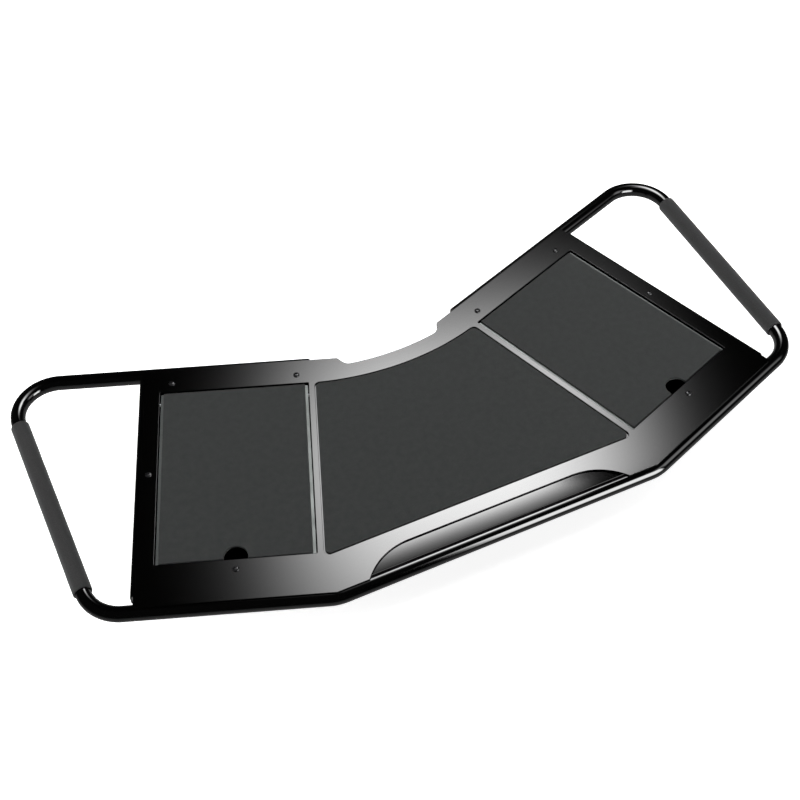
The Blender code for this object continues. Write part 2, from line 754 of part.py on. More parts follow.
def stem_nut_mesh():
    """A hexagon nut on the tray's floor, drawn about the caster's point."""
    bottom = TRAY_WALL + GAP
    outlines = [circle((0, 0), STEM_NUT_RADIUS, 6), circle((0, 0), STEM_RADIUS + GAP, 12)]
    return plate_mesh(outlines, bottom, bottom + STEM_NUT_HEIGHT)


def hinge_lid(side, wing, sign):
    """The empty on a lid's hinge line, whose children are drawn about the wing's own origin."""
    return new_empty(f"lid_hinge_{side}", (sign * WINDOW_NEAR, HINGE_V, -HINGE_DEPTH), parent=wing)


def make_wing_parts(side, sign, wing):
    new_object(f"tray_{side}", for_side(TRAY, sign), PAINT_SATIN, wing)
    for place, (along, across) in SCREW_PLACES.items():
        new_object(f"deck_screw_{place}_{side}", SCREW, STEEL_BLACK, wing, (sign * along, across, 0))
    bumper_across = WINDOW_FRONT + LEDGE_REACH / 2 + BUMPER_SHIFT
    for place, start in zip(("inner", "outer"), ledge_starts()):
        along = start + LEDGE_WIDTH / 2
        new_object(f"lid_bumper_{place}_{side}", BUMPER, RUBBER, wing, (sign * along, bumper_across, 0))
    hinge = hinge_lid(side, wing, sign)
    moving = {"lid_panel": (LID_PANEL, PAINT_GLOSS), "lid_pad": (LID_PAD, PAD), "lid_rod": (LID_ROD, STEEL_ZINC)}
    for name, (mesh, material) in moving.items():
        new_object(f"{name}_{side}", for_side(mesh, sign), material, hinge, -hinge.location)


# Casters, drawn about the point of the swivel axis at the tray's underside

CROWN_TOP = -0.0036
CROWN_THICKNESS = 0.0025
LEG_INSIDE = WHEEL_WIDTH / 2 + 0.0012
LEG_THICKNESS = 0.0023
WHEEL_CENTRE = (CASTER_TRAIL, WHEEL_RADIUS - (DECK_HEIGHT - CASTER_TOP))


def stem_mesh():
    seat = CROWN_TOP + GAP
    head = CROWN_TOP - CROWN_THICKNESS - GAP
    bottom = head - STEM_HEAD_HEIGHT
    profile = [(0, STEM_TOP), (STEM_RADIUS - STEM_CHAMFER, STEM_TOP), (STEM_RADIUS, STEM_TOP - STEM_CHAMFER),
               (STEM_RADIUS, -GAP), (COLLAR_RADIUS, -GAP), (COLLAR_RADIUS, seat), (NECK_RADIUS, seat),
               (NECK_RADIUS, head), (STEM_HEAD_RADIUS, head), (STEM_HEAD_RADIUS - STEM_HEAD_CHAMFER, bottom),
               (0, bottom)]
    return turned_mesh(profile, 12)


def fork_mesh():
    """A crown plate with a leg each side of the wheel, cut from flat outlines and joined."""
    y, z = WHEEL_CENTRE
    hole = NECK_RADIUS + RUNNING_GAP
    crown_half = LEG_INSIDE + LEG_THICKNESS - LEG_LAP
    edge = rectangle(-crown_half, crown_half, CROWN_FRONT, CROWN_BACK, CROWN_CORNER)
    crown = plate_mesh([edge, circle((0, 0), hole)], CROWN_TOP - CROWN_THICKNESS, CROWN_TOP)
    leg_outline = [(LEG_FRONT, CROWN_TOP - LEG_LAP), (LEG_BACK, CROWN_TOP - LEG_LAP)]
    leg_outline += arc((y, z), BOSS_RADIUS, 0, -math.pi * BOSS_TURN, 8)
    leg = plate_mesh([leg_outline, circle((y, z), AXLE_RADIUS + GAP)], -LEG_THICKNESS / 2, LEG_THICKNESS / 2)
    leg.transform(Matrix.Rotation(math.pi / 2, 4, "X"))
    leg.transform(Matrix.Rotation(math.pi / 2, 4, "Z"))
    middle = LEG_INSIDE + LEG_THICKNESS / 2
    legs = gathered_mesh([(leg, moved(way * middle, 0, 0)) for way in (-1, 1)])
    return boolean_mesh(crown, legs, "UNION")


def axle_mesh():
    outside = LEG_INSIDE + LEG_THICKNESS + GAP
    head = AXLE_HEAD_RADIUS
    cap = outside + AXLE_HEAD_HEIGHT
    profile = [(0, cap), (head * 0.8, cap), (head, outside), (AXLE_RADIUS, outside), (AXLE_RADIUS, -outside),
               (head, -outside), (head * 0.8, -cap), (0, -cap)]
    mesh = turned_mesh(profile, 12)
    mesh.transform(Matrix.Rotation(math.pi / 2, 4, "Y"))
    return mesh


def wheel_mesh():
    half = WHEEL_WIDTH / 2
    bore = AXLE_RADIUS + RUNNING_GAP
    web = half - WEB_DEPTH
    outer = [(bore, half), (HUB_RADIUS, half), (WEB_INNER, web), (WEB_OUTER, web), (RIM_RADIUS, half - RIM_DEPTH),
             (WHEEL_RADIUS, half - TREAD_DEPTH)]
    profile = outer + [(radius, -height) for radius, height in reversed(outer)]
    mesh = turned_mesh(profile, 20)
    mesh.transform(Matrix.Rotation(math.pi / 2, 4, "Y"))
    return mesh


def make_casters(side, sign, parent):
    """Each caster is a fixed stem, and a fork that swivels on it with its axle and wheel."""
    to_deck = wing_matrix(sign)
    for place, (along, across) in CASTER_PLACES.items():
        spot = to_deck @ Vector((sign * along, across, -CASTER_TOP))
        label = f"{place}_{side}"
        new_object(f"caster_stem_{label}", STEM, STEEL_ZINC, parent, spot)
        new_object(f"stem_nut_{label}", STEM_NUT, STEEL_ZINC, parent, spot)
        swivel = new_empty(f"swivel_{label}", spot, parent=parent)
        new_object(f"caster_fork_{label}", FORK, STEEL_ZINC, swivel)
        new_object(f"caster_axle_{label}", AXLE, STEEL_ZINC, swivel, (0, *WHEEL_CENTRE))
        new_object(f"caster_wheel_{label}", WHEEL, WHEEL_RUBBER, swivel, (0, *WHEEL_CENTRE))


clear_scene()
PARTS = new_collection("mechanics_creeper")
CUTTERS = new_collection("cutters", hidden=True)

PAINT_SATIN = make_material("black_powder_coat", (0.010, 0.010, 0.011), 0.25)
PAINT_GLOSS = make_material("black_gloss_paint", (0.006, 0.006, 0.007), 0.08)
PAD = make_material("dark_pad", (0.045, 0.048, 0.047), 0.9)
FOAM = make_material("foam", (0.050, 0.050, 0.050), 0.95)
PLASTIC = make_material("black_plastic", (0.012, 0.012, 0.012), 0.4)
RUBBER = make_material("rubber", (0.015, 0.015, 0.015), 0.7)
WHEEL_RUBBER = make_material("wheel_rubber", (0.020, 0.020, 0.021), 0.6)
STEEL_BLACK = make_material("black_steel", (0.012, 0.012, 0.013), 0.3, 0.6)
STEEL_ZINC = make_material("zinc_plated_steel", (0.60, 0.60, 0.62), 0.35, 1.0)

TRAY = tray_mesh()
BUMPER = bumper_mesh()
SCREW = screw_mesh()
STEM_NUT = stem_nut_mesh()
LID_PANEL = lid_panel_mesh()
LID_PAD = plate_mesh([lid_outline(LID_RIM, 0.0004)], -LID_TOP + GAP, -LID_PAD_TOP)
LID_ROD = lid_rod_mesh()
STEM = stem_mesh()
FORK = fork_mesh()
AXLE = axle_mesh()
WHEEL = wheel_mesh()

creeper = new_empty("creeper", (0, -depth_middle(), DECK_HEIGHT))
make_frame_tube(creeper)
make_deck(creeper)
make_centre_panel(creeper)
make_centre_mat(creeper)
make_front_trough(creeper)
for side, sign in SIDES.items():
    wing = new_empty(f"wing_{side}", (sign * HALF_FRONT, 0, 0), sign * WING_ANGLE, creeper)
    make_tube_plug(side, sign, wing)
    make_foam_grip(side, sign, creeper)
    make_wing_parts(side, sign, wing)
    make_casters(side, sign, creeper)
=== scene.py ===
# %% [markdown]
# # A mechanic's creeper, piece by piece
# This notebook dresses a finished mechanical model. The model is loaded first as a fixed frame: its parts have
# their real size and their joints already work. Every step below takes one part of the creeper, says what it is
# on the real thing, builds the surface that the eye sees, and ties it to the body that it moves with.

# %% Load the frame
import json
import math

import bmesh
import bpy
from mathutils import Matrix, Vector, noise


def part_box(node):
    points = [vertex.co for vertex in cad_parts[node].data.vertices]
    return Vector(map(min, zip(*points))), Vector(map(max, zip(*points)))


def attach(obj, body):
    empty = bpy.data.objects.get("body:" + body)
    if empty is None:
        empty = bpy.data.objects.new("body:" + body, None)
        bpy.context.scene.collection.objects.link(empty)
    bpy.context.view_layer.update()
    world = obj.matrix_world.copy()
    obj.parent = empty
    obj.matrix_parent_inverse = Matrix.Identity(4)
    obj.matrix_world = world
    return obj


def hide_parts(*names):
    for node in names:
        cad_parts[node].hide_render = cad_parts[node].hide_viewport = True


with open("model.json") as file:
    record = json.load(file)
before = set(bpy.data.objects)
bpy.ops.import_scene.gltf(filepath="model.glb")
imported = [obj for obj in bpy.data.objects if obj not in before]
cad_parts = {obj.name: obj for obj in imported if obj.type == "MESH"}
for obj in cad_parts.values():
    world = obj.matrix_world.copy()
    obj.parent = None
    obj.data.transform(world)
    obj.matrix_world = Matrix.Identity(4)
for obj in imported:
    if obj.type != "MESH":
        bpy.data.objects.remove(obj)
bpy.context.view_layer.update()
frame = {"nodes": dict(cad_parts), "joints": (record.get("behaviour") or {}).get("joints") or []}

# %% [markdown]
# ## Where things are
# The deck is a flat chevron: a straight middle and two wings that turn back by the same angle. Most sheet parts
# are drawn flat, so it pays to have two flat coordinate systems. The first starts at the middle of the deck's
# front edge. The second lies on a wing, with X running outwards along it and Y running to its back edge. The
# anchor point and the wing angle are read from the frame, so a change there moves everything here too.

# %% The deck's corner and the wing's angle, read from the frame
deck_low, deck_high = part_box("deck")
deck_top = deck_high[2]
deck_front = deck_low[1]
hinges = {joint["name"]: joint for joint in frame["joints"]}
hinge_axis = hinges["lid_right_hinge"]["axis"]
wing_angle = math.atan2(-hinge_axis[1], -hinge_axis[0])
half_front = 0.2238
sides = {"left": -1, "right": 1}
deck_frame = Matrix.Translation((0, deck_front, deck_top))


def wing_frame(sign):
    """The matrix that takes flat wing coordinates to the world, for the left (-1) or right (+1) wing."""
    corner = Matrix.Translation((sign * half_front, 0, 0))
    return deck_frame @ corner @ Matrix.Rotation(sign * wing_angle, 4, "Z")


def wing_point(along, across):
    """Right wing coordinates to flat deck coordinates."""
    x = half_front + along * math.cos(wing_angle) - across * math.sin(wing_angle)
    y = along * math.sin(wing_angle) + across * math.cos(wing_angle)
    return x, y


print(f"deck top {deck_top * 1000:.1f} mm up, wing angle {math.degrees(wing_angle):.2f} degrees")

# %% [markdown]
# ## The camera comes first
# Shiny black paint is only visible through what it reflects, so the camera is placed before any lamp: a lamp's
# place is then chosen by following the mirrored view. The camera stands in front and to the left, about
# 50 degrees up, with a slightly long lens and a small roll.

# %% Camera
azimuth = math.radians(-24.087)
elevation = math.radians(50.2)
roll = math.radians(-1.188)
camera_distance = 1.8976
aim = deck_frame @ Vector((-0.02958, 0.23952, 0))
back_to_camera = Vector((math.sin(azimuth) * math.cos(elevation), -math.cos(azimuth) * math.cos(elevation),
                         math.sin(elevation)))
level_right = back_to_camera.cross(Vector((0, 0, -1))).normalized()
level_up = back_to_camera.cross(level_right)
camera_right = level_right * math.cos(roll) + level_up * math.sin(roll)
camera_up = -level_right * math.sin(roll) + level_up * math.cos(roll)
turn = Matrix((camera_right, camera_up, back_to_camera)).transposed().to_4x4()
camera_data = bpy.data.cameras.new("camera")
camera_data.sensor_width = 36.0
camera_data.lens = 64.0
camera = bpy.data.objects.new("camera", camera_data)
camera.matrix_world = Matrix.Translation(aim + back_to_camera * camera_distance) @ turn
bpy.context.scene.collection.objects.link(camera)
bpy.context.scene.camera = camera
bpy.context.scene.view_settings.view_transform = "Standard"
print("camera at", [round(value, 3) for value in camera.location])

# %% [markdown]
# ## Light for black paint
# The paint mirrors a large soft lamp that hangs over the back right of the deck, and everything else it mirrors
# is dark. That lamp is a panel whose glow fades from its middle outwards, flatter than a bell curve along one
# way. A plain area lamp can't fade, so the panel is a flat mesh with a glow made by nodes. It only lights shiny
# surfaces: the matt ones get their light from ordinary lamps, so each kind can be set by itself.

# %% A soft panel
scene_collection = bpy.context.scene.collection


def flat_square(name, size_x, size_y):
    bm = bmesh.new()
    bmesh.ops.create_grid(bm, x_segments=1, y_segments=1, size=0.5)
    bmesh.ops.scale(bm, vec=(size_x, size_y, 1), verts=bm.verts)
    mesh = bpy.data.meshes.new(name)
    bm.to_mesh(mesh)
    bm.free()
    thing = bpy.data.objects.new(name, mesh)
    scene_collection.objects.link(thing)
    return thing


def fade(tree, coordinate, spread, power):
    """The share |coordinate / spread| raised to a power."""
    size = tree.nodes.new("ShaderNodeMath")
    size.operation = "ABSOLUTE"
    share = tree.nodes.new("ShaderNodeMath")
    share.operation = "DIVIDE"
    share.inputs[1].default_value = spread
    curve = tree.nodes.new("ShaderNodeMath")
    curve.operation = "POWER"
    curve.inputs[1].default_value = power
    tree.links.new(coordinate, size.inputs[0])
    tree.links.new(size.outputs[0], share.inputs[0])
    tree.links.new(share.outputs[0], curve.inputs[0])
    return curve.outputs[0]


def glow_panel(name, matrix, size, spread, power, strength):
    """A panel in the matrix's XY plane. Its glow falls off as exp(-(x^p + y^q)), with x and y in spreads."""
    panel = flat_square(name, *size)
    panel.matrix_world = matrix
    material = bpy.data.materials.new(name)
    material.use_nodes = True
    tree = material.node_tree
    tree.nodes.clear()
    output = tree.nodes.new("ShaderNodeOutputMaterial")
    glow = tree.nodes.new("ShaderNodeEmission")
    place = tree.nodes.new("ShaderNodeTexCoord")
    split = tree.nodes.new("ShaderNodeSeparateXYZ")
    both = tree.nodes.new("ShaderNodeMath")
    bell = tree.nodes.new("ShaderNodeMath")
    bell.operation = "POWER"
    bell.inputs[0].default_value = math.exp(-1)
    level = tree.nodes.new("ShaderNodeMath")
    level.operation = "MULTIPLY"
    level.inputs[1].default_value = strength
    tree.links.new(place.outputs["Object"], split.inputs[0])
    for i in range(2):
        tree.links.new(fade(tree, split.outputs[i], spread[i], power[i]), both.inputs[i])
    tree.links.new(both.outputs[0], bell.inputs[1])
    tree.links.new(bell.outputs[0], level.inputs[0])
    tree.links.new(level.outputs[0], glow.inputs["Strength"])
    tree.links.new(glow.outputs[0], output.inputs["Surface"])
    panel.data.materials.append(material)
    panel.visible_camera = False
    panel.visible_shadow = False
    panel.visible_diffuse = False
    return panel


def facing(place, target):
    return (Vector(place) - Vector(target)).normalized().to_track_quat("Z", "Y").to_matrix().to_4x4()


# %% [markdown]
# Three panels are hung. The first is the big one over the back. The second stands at the front right, a little
# above the floor, and draws the bright line on the front tube. The third, weaker one stands farther out at the
# right, for the line on the wing's tube. The first one is dimmed in its near right corner, which keeps the
# right end of the scoop dark, as a black card in front of a real lamp would.
#
# The floor is white paper that glows a little, so that it stays white under the creeper. Seen in the paint it
# would be a hard-edged white field, so the paint doesn't mirror it. A fourth soft panel just under the floor
# gives the tubes and the edges their faint light from below. Four pale walls close the view far behind.

# %% Hang the panels
lamp_height = 1.458
big_panel = deck_frame @ Matrix.Translation((0.526, 1.070, lamp_height)) @ Matrix.Rotation(-0.369, 4, "Z")
back_panel = glow_panel("back_panel", big_panel, (2.4, 2.4), (0.415, 0.450), (3.2, 2.16), 20.6)
front_place = deck_frame @ Vector((0.56, -0.75, 0.38))
front_panel = Matrix.Translation(front_place) @ Matrix.Rotation(math.radians(90), 4, "X")
glow_panel("front_panel", front_panel, (1.2, 0.90), (0.38, 0.40), (9.0, 6.0), 19.0)
right_place = deck_frame @ Vector((1.42, -0.69, 0.92))
right_panel = Matrix.Translation(right_place) @ facing(right_place, deck_frame @ Vector((0.4, 0.1, 0)))
glow_panel("right_panel", right_panel, (1.4, 1.4), (0.50, 0.45), (4.0, 4.0), 3.0)


def shade_corner(panel, x_range, y_range):
    """Darkens a panel's glow where X is past one range and Y is below the other, each fading over its range."""
    tree = panel.data.materials[0].node_tree
    glow = next(node for node in tree.nodes if node.type == "EMISSION")
    place = tree.nodes.new("ShaderNodeNewGeometry")
    split = tree.nodes.new("ShaderNodeSeparateXYZ")
    tree.links.new(place.outputs["Position"], split.inputs[0])
    level = glow.inputs["Strength"].links[0].from_socket
    corner = tree.nodes.new("ShaderNodeMath")
    corner.operation = "MULTIPLY"
    for i, (start, end) in enumerate((x_range, y_range)):
        step = tree.nodes.new("ShaderNodeMapRange")
        step.interpolation_type = "SMOOTHSTEP"
        step.inputs["From Min"].default_value = start
        step.inputs["From Max"].default_value = end
        tree.links.new(split.outputs[i], step.inputs["Value"])
        tree.links.new(step.outputs["Result"], corner.inputs[i])
    rest = tree.nodes.new("ShaderNodeMath")
    rest.operation = "SUBTRACT"
    rest.inputs[0].default_value = 1.0
    tree.links.new(corner.outputs[0], rest.inputs[1])
    dimmed = tree.nodes.new("ShaderNodeMath")
    dimmed.operation = "MULTIPLY"
    tree.links.new(level, dimmed.inputs[0])
    tree.links.new(rest.outputs[0], dimmed.inputs[1])
    tree.links.new(dimmed.outputs[0], glow.inputs["Strength"])


shade_corner(back_panel, (0.665, 0.750), (deck_front + 0.87, deck_front + 0.81))

# %% Floor and fill light
floor_size, wall_height = 12, 8
floor = flat_square("floor", floor_size, floor_size)
floor_material = bpy.data.materials.new("floor_paper")
floor_material.use_nodes = True
floor_shader = floor_material.node_tree.nodes["Principled BSDF"]
floor_shader.inputs["Base Color"].default_value = (0.93, 0.93, 0.93, 1)
floor_shader.inputs["Roughness"].default_value = 0.9
floor_shader.inputs["Specular IOR Level"].default_value = 0.0
floor_shader.inputs["Emission Color"].default_value = (1, 1, 1, 1)
floor_shader.inputs["Emission Strength"].default_value = 0.90
floor.data.materials.append(floor_material)
floor.visible_glossy = False
glow_panel("floor_glow", Matrix.Translation((0, 0, -0.001)), (2.4, 1.8), (0.85, 0.60), (4.0, 4.0), 0.45)

# %% Pale backdrop behind the floor's four edges, which lights nothing and is mirrored by nothing
paper_glow = bpy.data.materials.new("backdrop_paper")
paper_glow.use_nodes = True
paper_shader = paper_glow.node_tree.nodes["Principled BSDF"]
paper_shader.inputs["Base Color"].default_value = (0, 0, 0, 1)
paper_shader.inputs["Specular IOR Level"].default_value = 0.0
paper_shader.inputs["Emission Color"].default_value = (1, 1, 1, 1)
paper_shader.inputs["Emission Strength"].default_value = 0.97
for quarter in range(4):
    wall = flat_square(f"backdrop_{quarter}", floor_size, wall_height)
    turn = Matrix.Rotation(math.radians(90 * quarter), 4, "Z")
    edge = Matrix.Translation((0, floor_size / 2, wall_height / 2))
    wall.matrix_world = turn @ edge @ Matrix.Rotation(math.radians(90), 4, "X")
    wall.data.materials.append(paper_glow)
    wall.visible_diffuse = False
    wall.visible_glossy = False
    wall.visible_shadow = False

world = bpy.data.worlds.new("studio")
world.use_nodes = True
world.node_tree.nodes["Background"].inputs["Color"].default_value = (1, 1, 1, 1)
world.node_tree.nodes["Background"].inputs["Strength"].default_value = 0.02
bpy.context.scene.world = world


def fill_lamp(name, place, target, size, power):
    data = bpy.data.lights.new(name, "AREA")
    data.size = size
    data.energy = power
    lamp = bpy.data.objects.new(name, data)
    lamp.matrix_world = Matrix.Translation(place) @ facing(place, target)
    lamp.visible_camera = False
    lamp.visible_glossy = False
    scene_collection.objects.link(lamp)


middle = deck_frame @ Vector((0, 0.24, 0))
fill_lamp("fill_left", middle + Vector((-2.0, 0.2, 1.1)), middle, 1.4, 34)
fill_lamp("fill_right", middle + Vector((2.0, 0.2, 1.1)), middle, 1.4, 18)
fill_lamp("fill_top", middle + Vector((0, 0.3, 2.6)), middle, 2.4, 42)

# %% [markdown]
# ## Helpers for shapes
# Sheet metal, mats and pads are flat outlines with a thickness. Blender's 2D curve does this well: it fills the
# outline, leaves the holes open, and rounds the edge with its own bevel. Round parts are profiles spun about an
# axis. Both are turned into plain meshes here, so that they can be moved, joined and shaded together.

# %% Flat outlines

def arc(centre, radius, start, end, steps):
    angles = [start + (end - start) * i / steps for i in range(steps + 1)]
    return [(centre[0] + radius * math.cos(a), centre[1] + radius * math.sin(a)) for a in angles]


def circle(centre, radius, steps=32):
    return arc(centre, radius, 0, 2 * math.pi, steps)[:-1]


def rounded(corners, steps=10):
    """A closed outline from (x, y, radius) corners, each radius drawn as an arc."""
    points = []
    for i, (x, y, radius) in enumerate(corners):
        if radius == 0:
            points.append((x, y))
            continue
        here = Vector((x, y))
        before = (Vector(corners[i - 1][:2]) - here).normalized()
        after = (Vector(corners[(i + 1) % len(corners)][:2]) - here).normalized()
        half = before.angle(after) / 2
        centre = here + (before + after).normalized() * radius / math.sin(half)
        first = here + before * radius / math.tan(half) - centre
        last = here + after * radius / math.tan(half) - centre
        start = math.atan2(first.y, first.x)
        points += arc(centre, radius, start, start - first.angle_signed(last), steps)
    return points


def rectangle(x0, x1, y0, y1, radius, steps=6):
    return rounded([(x0, y0, radius), (x1, y0, radius), (x1, y1, radius), (x0, y1, radius)], steps)


def mirrored(half):
    return [*half, *[(-x, *rest) for x, *rest in reversed(half)]]


# %% Plates, turned parts and joining

def cleaned(mesh, smooth_angle=35, level=0.9999):
    """Points merged and normals set. Curved faces are smooth, and faces that lie level stay truly flat."""
    bm = bmesh.new()
    bm.from_mesh(mesh)
    bmesh.ops.remove_doubles(bm, verts=bm.verts, dist=1e-6)
    bmesh.ops.recalc_face_normals(bm, faces=bm.faces)
    for face in bm.faces:
        face.smooth = True
    for edge in bm.edges:
        flats = [abs(face.normal.z) > level for face in edge.link_faces]
        too_steep = len(flats) == 2 and edge.calc_face_angle(0) > math.radians(smooth_angle)
        edge.smooth = not too_steep and (all(flats) or not any(flats))
    bm.to_mesh(mesh)
    bm.free()
    mesh.materials.clear()
    return mesh


def mesh_of(thing):
    """The evaluated mesh of an object, which is then removed."""
    scene_collection.objects.link(thing)
    bpy.context.view_layer.update()
    graph = bpy.context.evaluated_depsgraph_get()
    mesh = bpy.data.meshes.new_from_object(thing.evaluated_get(graph))
    bpy.data.objects.remove(thing, do_unlink=True)
    return mesh


def plate(outlines, low, high, edge=0.0003):
    """A flat plate between two heights with a small rounded edge. Outlines after the first are holes."""
    curve = bpy.data.curves.new("outline", "CURVE")
    curve.dimensions = "2D"
    curve.fill_mode = "BOTH"
    curve.extrude = (high - low) / 2 - edge
    curve.bevel_depth = edge
    curve.bevel_resolution = 2
    curve.offset = -edge
    for outline in outlines:
        spline = curve.splines.new("POLY")
        spline.points.add(len(outline) - 1)
        for point, (x, y) in zip(spline.points, outline):
            point.co = (x, y, 0, 1)
        spline.use_cyclic_u = True
    mesh = mesh_of(bpy.data.objects.new("outline", curve))
    mesh.transform(Matrix.Translation((0, 0, (high + low) / 2)))
    return cleaned(mesh)


def turned(profile, steps=48):
    """A part turned about Z. The profile lists (radius, height) down the outer side."""
    bm = bmesh.new()
    verts = [bm.verts.new((radius, 0, height)) for radius, height in profile]
    edges = [bm.edges.new(pair) for pair in zip(verts, verts[1:])]
    if profile[0][0] > 0:
        edges.append(bm.edges.new((verts[-1], verts[0])))
    bmesh.ops.spin(bm, geom=verts + edges, axis=(0, 0, 1), cent=(0, 0, 0), angle=2 * math.pi, steps=steps)
    mesh = bpy.data.meshes.new("turned")
    bm.to_mesh(mesh)
    bm.free()
    return cleaned(mesh)


def joined(items):
    """Meshes moved by their matrices and put in one mesh."""
    bm = bmesh.new()
    for mesh, matrix in items:
        copy = mesh.copy()
        copy.transform(matrix)
        bm.from_mesh(copy)
        bpy.data.meshes.remove(copy)
    result = bpy.data.meshes.new("joined")
    bm.to_mesh(result)
    bm.free()
    return result


def cut(mesh, tool):
    """One mesh with another taken out of it."""
    tool_object = bpy.data.objects.new("tool", tool)
    scene_collection.objects.link(tool_object)
    thing = bpy.data.objects.new("piece", mesh)
    step = thing.modifiers.new("cut", "BOOLEAN")
    step.operation = "DIFFERENCE"
    step.solver = "EXACT"
    step.object = tool_object
    result = mesh_of(thing)
    bpy.data.objects.remove(tool_object, do_unlink=True)
    return cleaned(result)


still = Matrix.Identity(4)
swap_y_z = Matrix(((1, 0, 0, 0), (0, 0, 1, 0), (0, 1, 0, 0), (0, 0, 0, 1)))
stood_up = Matrix(((0, 0, 1, 0), (1, 0, 0, 0), (0, 1, 0, 0), (0, 0, 0, 1)))


def moved(x, y, z):
    return Matrix.Translation((x, y, z))


def spun(degrees, axis):
    return Matrix.Rotation(math.radians(degrees), 4, axis)


def flipped(mesh, sign):
    """The mirror image of a part drawn for the right wing, when the left one is asked for."""
    if sign > 0:
        return mesh
    other = mesh.copy()
    other.transform(Matrix.Scale(-1, 4, (1, 0, 0)))
    other.flip_normals()
    return other


# %% Fitting a piece to the frame

def fit_out(name, mesh, matrix, material, body, slot, *nodes):
    """Adds a finished piece, ties it to its body, and lets it stand for the plain nodes that it covers."""
    piece = bpy.data.objects.new(name, mesh)
    if not mesh.materials:
        mesh.materials.append(material)
    piece.matrix_world = matrix
    scene_collection.objects.link(piece)
    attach(piece, body)
    if nodes:
        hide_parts(*nodes)
    return piece


# %% [markdown]
# ## Finishes
# Each finish is a Principled shader whose colour, roughness and bump vary over the surface, at the size that
# the real finish varies. The size of the grain matters most: paint ripples over one or two millimetres, felt
# has fibres of a few tenths, and foam has open pores of about half a millimetre.

# %% Shader helpers

def new_finish(name, colour, roughness, metallic=0.0):
    material = bpy.data.materials.new(name)
    material.use_nodes = True
    shader = material.node_tree.nodes["Principled BSDF"]
    shader.inputs["Base Color"].default_value = (*colour, 1)
    shader.inputs["Roughness"].default_value = roughness
    shader.inputs["Metallic"].default_value = metallic
    return material, shader


def grain(tree, kind, scale, detail=4.0, stretch=(1, 1, 1)):
    """A noise or cell pattern in object coordinates, in cycles per metre."""
    place = tree.nodes.new("ShaderNodeTexCoord")
    mapping = tree.nodes.new("ShaderNodeMapping")
    mapping.inputs["Scale"].default_value = stretch
    tree.links.new(place.outputs["Object"], mapping.inputs["Vector"])
    if kind == "cells":
        pattern = tree.nodes.new("ShaderNodeTexVoronoi")
        value = pattern.outputs["Distance"]
    else:
        pattern = tree.nodes.new("ShaderNodeTexNoise")
        pattern.inputs["Detail"].default_value = detail
        value = pattern.outputs["Fac"]
    pattern.inputs["Scale"].default_value = scale
    tree.links.new(mapping.outputs["Vector"], pattern.inputs["Vector"])
    return value


def spread_value(tree, value, low, high, start=0.3, end=0.7):
    """A pattern stretched to run from one number to another."""
    step = tree.nodes.new("ShaderNodeMapRange")
    step.inputs["From Min"].default_value = start
    step.inputs["From Max"].default_value = end
    step.inputs["To Min"].default_value = low
    step.inputs["To Max"].default_value = high
    tree.links.new(value, step.inputs["Value"])
    return step.outputs["Result"]


def tint(tree, value, dark, light):
    """A pattern turned into a colour between two tones."""
    mix = tree.nodes.new("ShaderNodeMix")
    mix.data_type = "RGBA"
    mix.inputs["A"].default_value = (*dark, 1)
    mix.inputs["B"].default_value = (*light, 1)
    tree.links.new(value, mix.inputs["Factor"])
    return mix.outputs["Result"]


def relief(tree, shader, value, height, strength=1.0, before=None):
    """Bump from a pattern, with its height in metres."""
    bump = tree.nodes.new("ShaderNodeBump")
    bump.inputs["Strength"].default_value = strength
    bump.inputs["Distance"].default_value = height
    tree.links.new(value, bump.inputs["Height"])
    if before is not None:
        tree.links.new(before, bump.inputs["Normal"])
    tree.links.new(bump.outputs["Normal"], shader.inputs["Normal"])
    return bump.outputs["Normal"]


# %% Powder coat and gloss paint

def paint(name, tone, roughness, peel_height):
    """Black paint: a dark body with a faint ripple and a little dust-like change in gloss."""
    material, shader = new_finish(name, (tone, tone, tone * 1.08), roughness)
    tree = material.node_tree
    cloud = grain(tree, "noise", 9.0, 3.0)
    fine = grain(tree, "noise", 700.0, 2.0)
    tree.links.new(spread_value(tree, cloud, roughness * 0.93, roughness * 1.07), shader.inputs["Roughness"])
    body = tint(tree, spread_value(tree, fine, 0, 1), (tone * 0.85,) * 3,
                (tone * 1.15, tone * 1.15, tone * 1.22))
    tree.links.new(body, shader.inputs["Base Color"])
    ripple = grain(tree, "noise", 320.0, 2.0)
    relief(tree, shader, ripple, peel_height, 0.35)
    return material


deck_paint = paint("deck_powder_coat", 0.0005, 0.09, 0.00002)
tube_paint = paint("tube_gloss_paint", 0.0008, 0.08, 0.00001)

# %% Pad cloth, foam and rubber

def pad_cloth():
    """Close-cropped felt on the mat and the lids: fine fibres, soft clouds of tone and a dusty sheen."""
    material, shader = new_finish("pad_felt", (0.023, 0.025, 0.0245), 0.95)
    tree = material.node_tree
    fibre = grain(tree, "noise", 1500.0, 6.0)
    cloud = grain(tree, "noise", 110.0, 5.0)
    tone = tint(tree, spread_value(tree, cloud, 0, 1), (0.0205, 0.0222, 0.0218), (0.0258, 0.0276, 0.0271))
    speck = tint(tree, spread_value(tree, fibre, 0, 1), (0.80, 0.80, 0.80), (1.20, 1.20, 1.20))
    both = tree.nodes.new("ShaderNodeMix")
    both.data_type = "RGBA"
    both.blend_type = "MULTIPLY"
    both.inputs["Factor"].default_value = 1.0
    tree.links.new(tone, both.inputs["A"])
    tree.links.new(speck, both.inputs["B"])
    tree.links.new(both.outputs["Result"], shader.inputs["Base Color"])
    first = relief(tree, shader, cloud, 0.00006, 0.4)
    relief(tree, shader, fibre, 0.00012, 0.7, first)
    shader.inputs["Sheen Weight"].default_value = 0.10
    shader.inputs["Sheen Roughness"].default_value = 0.6
    shader.inputs["Specular IOR Level"].default_value = 0.2
    return material


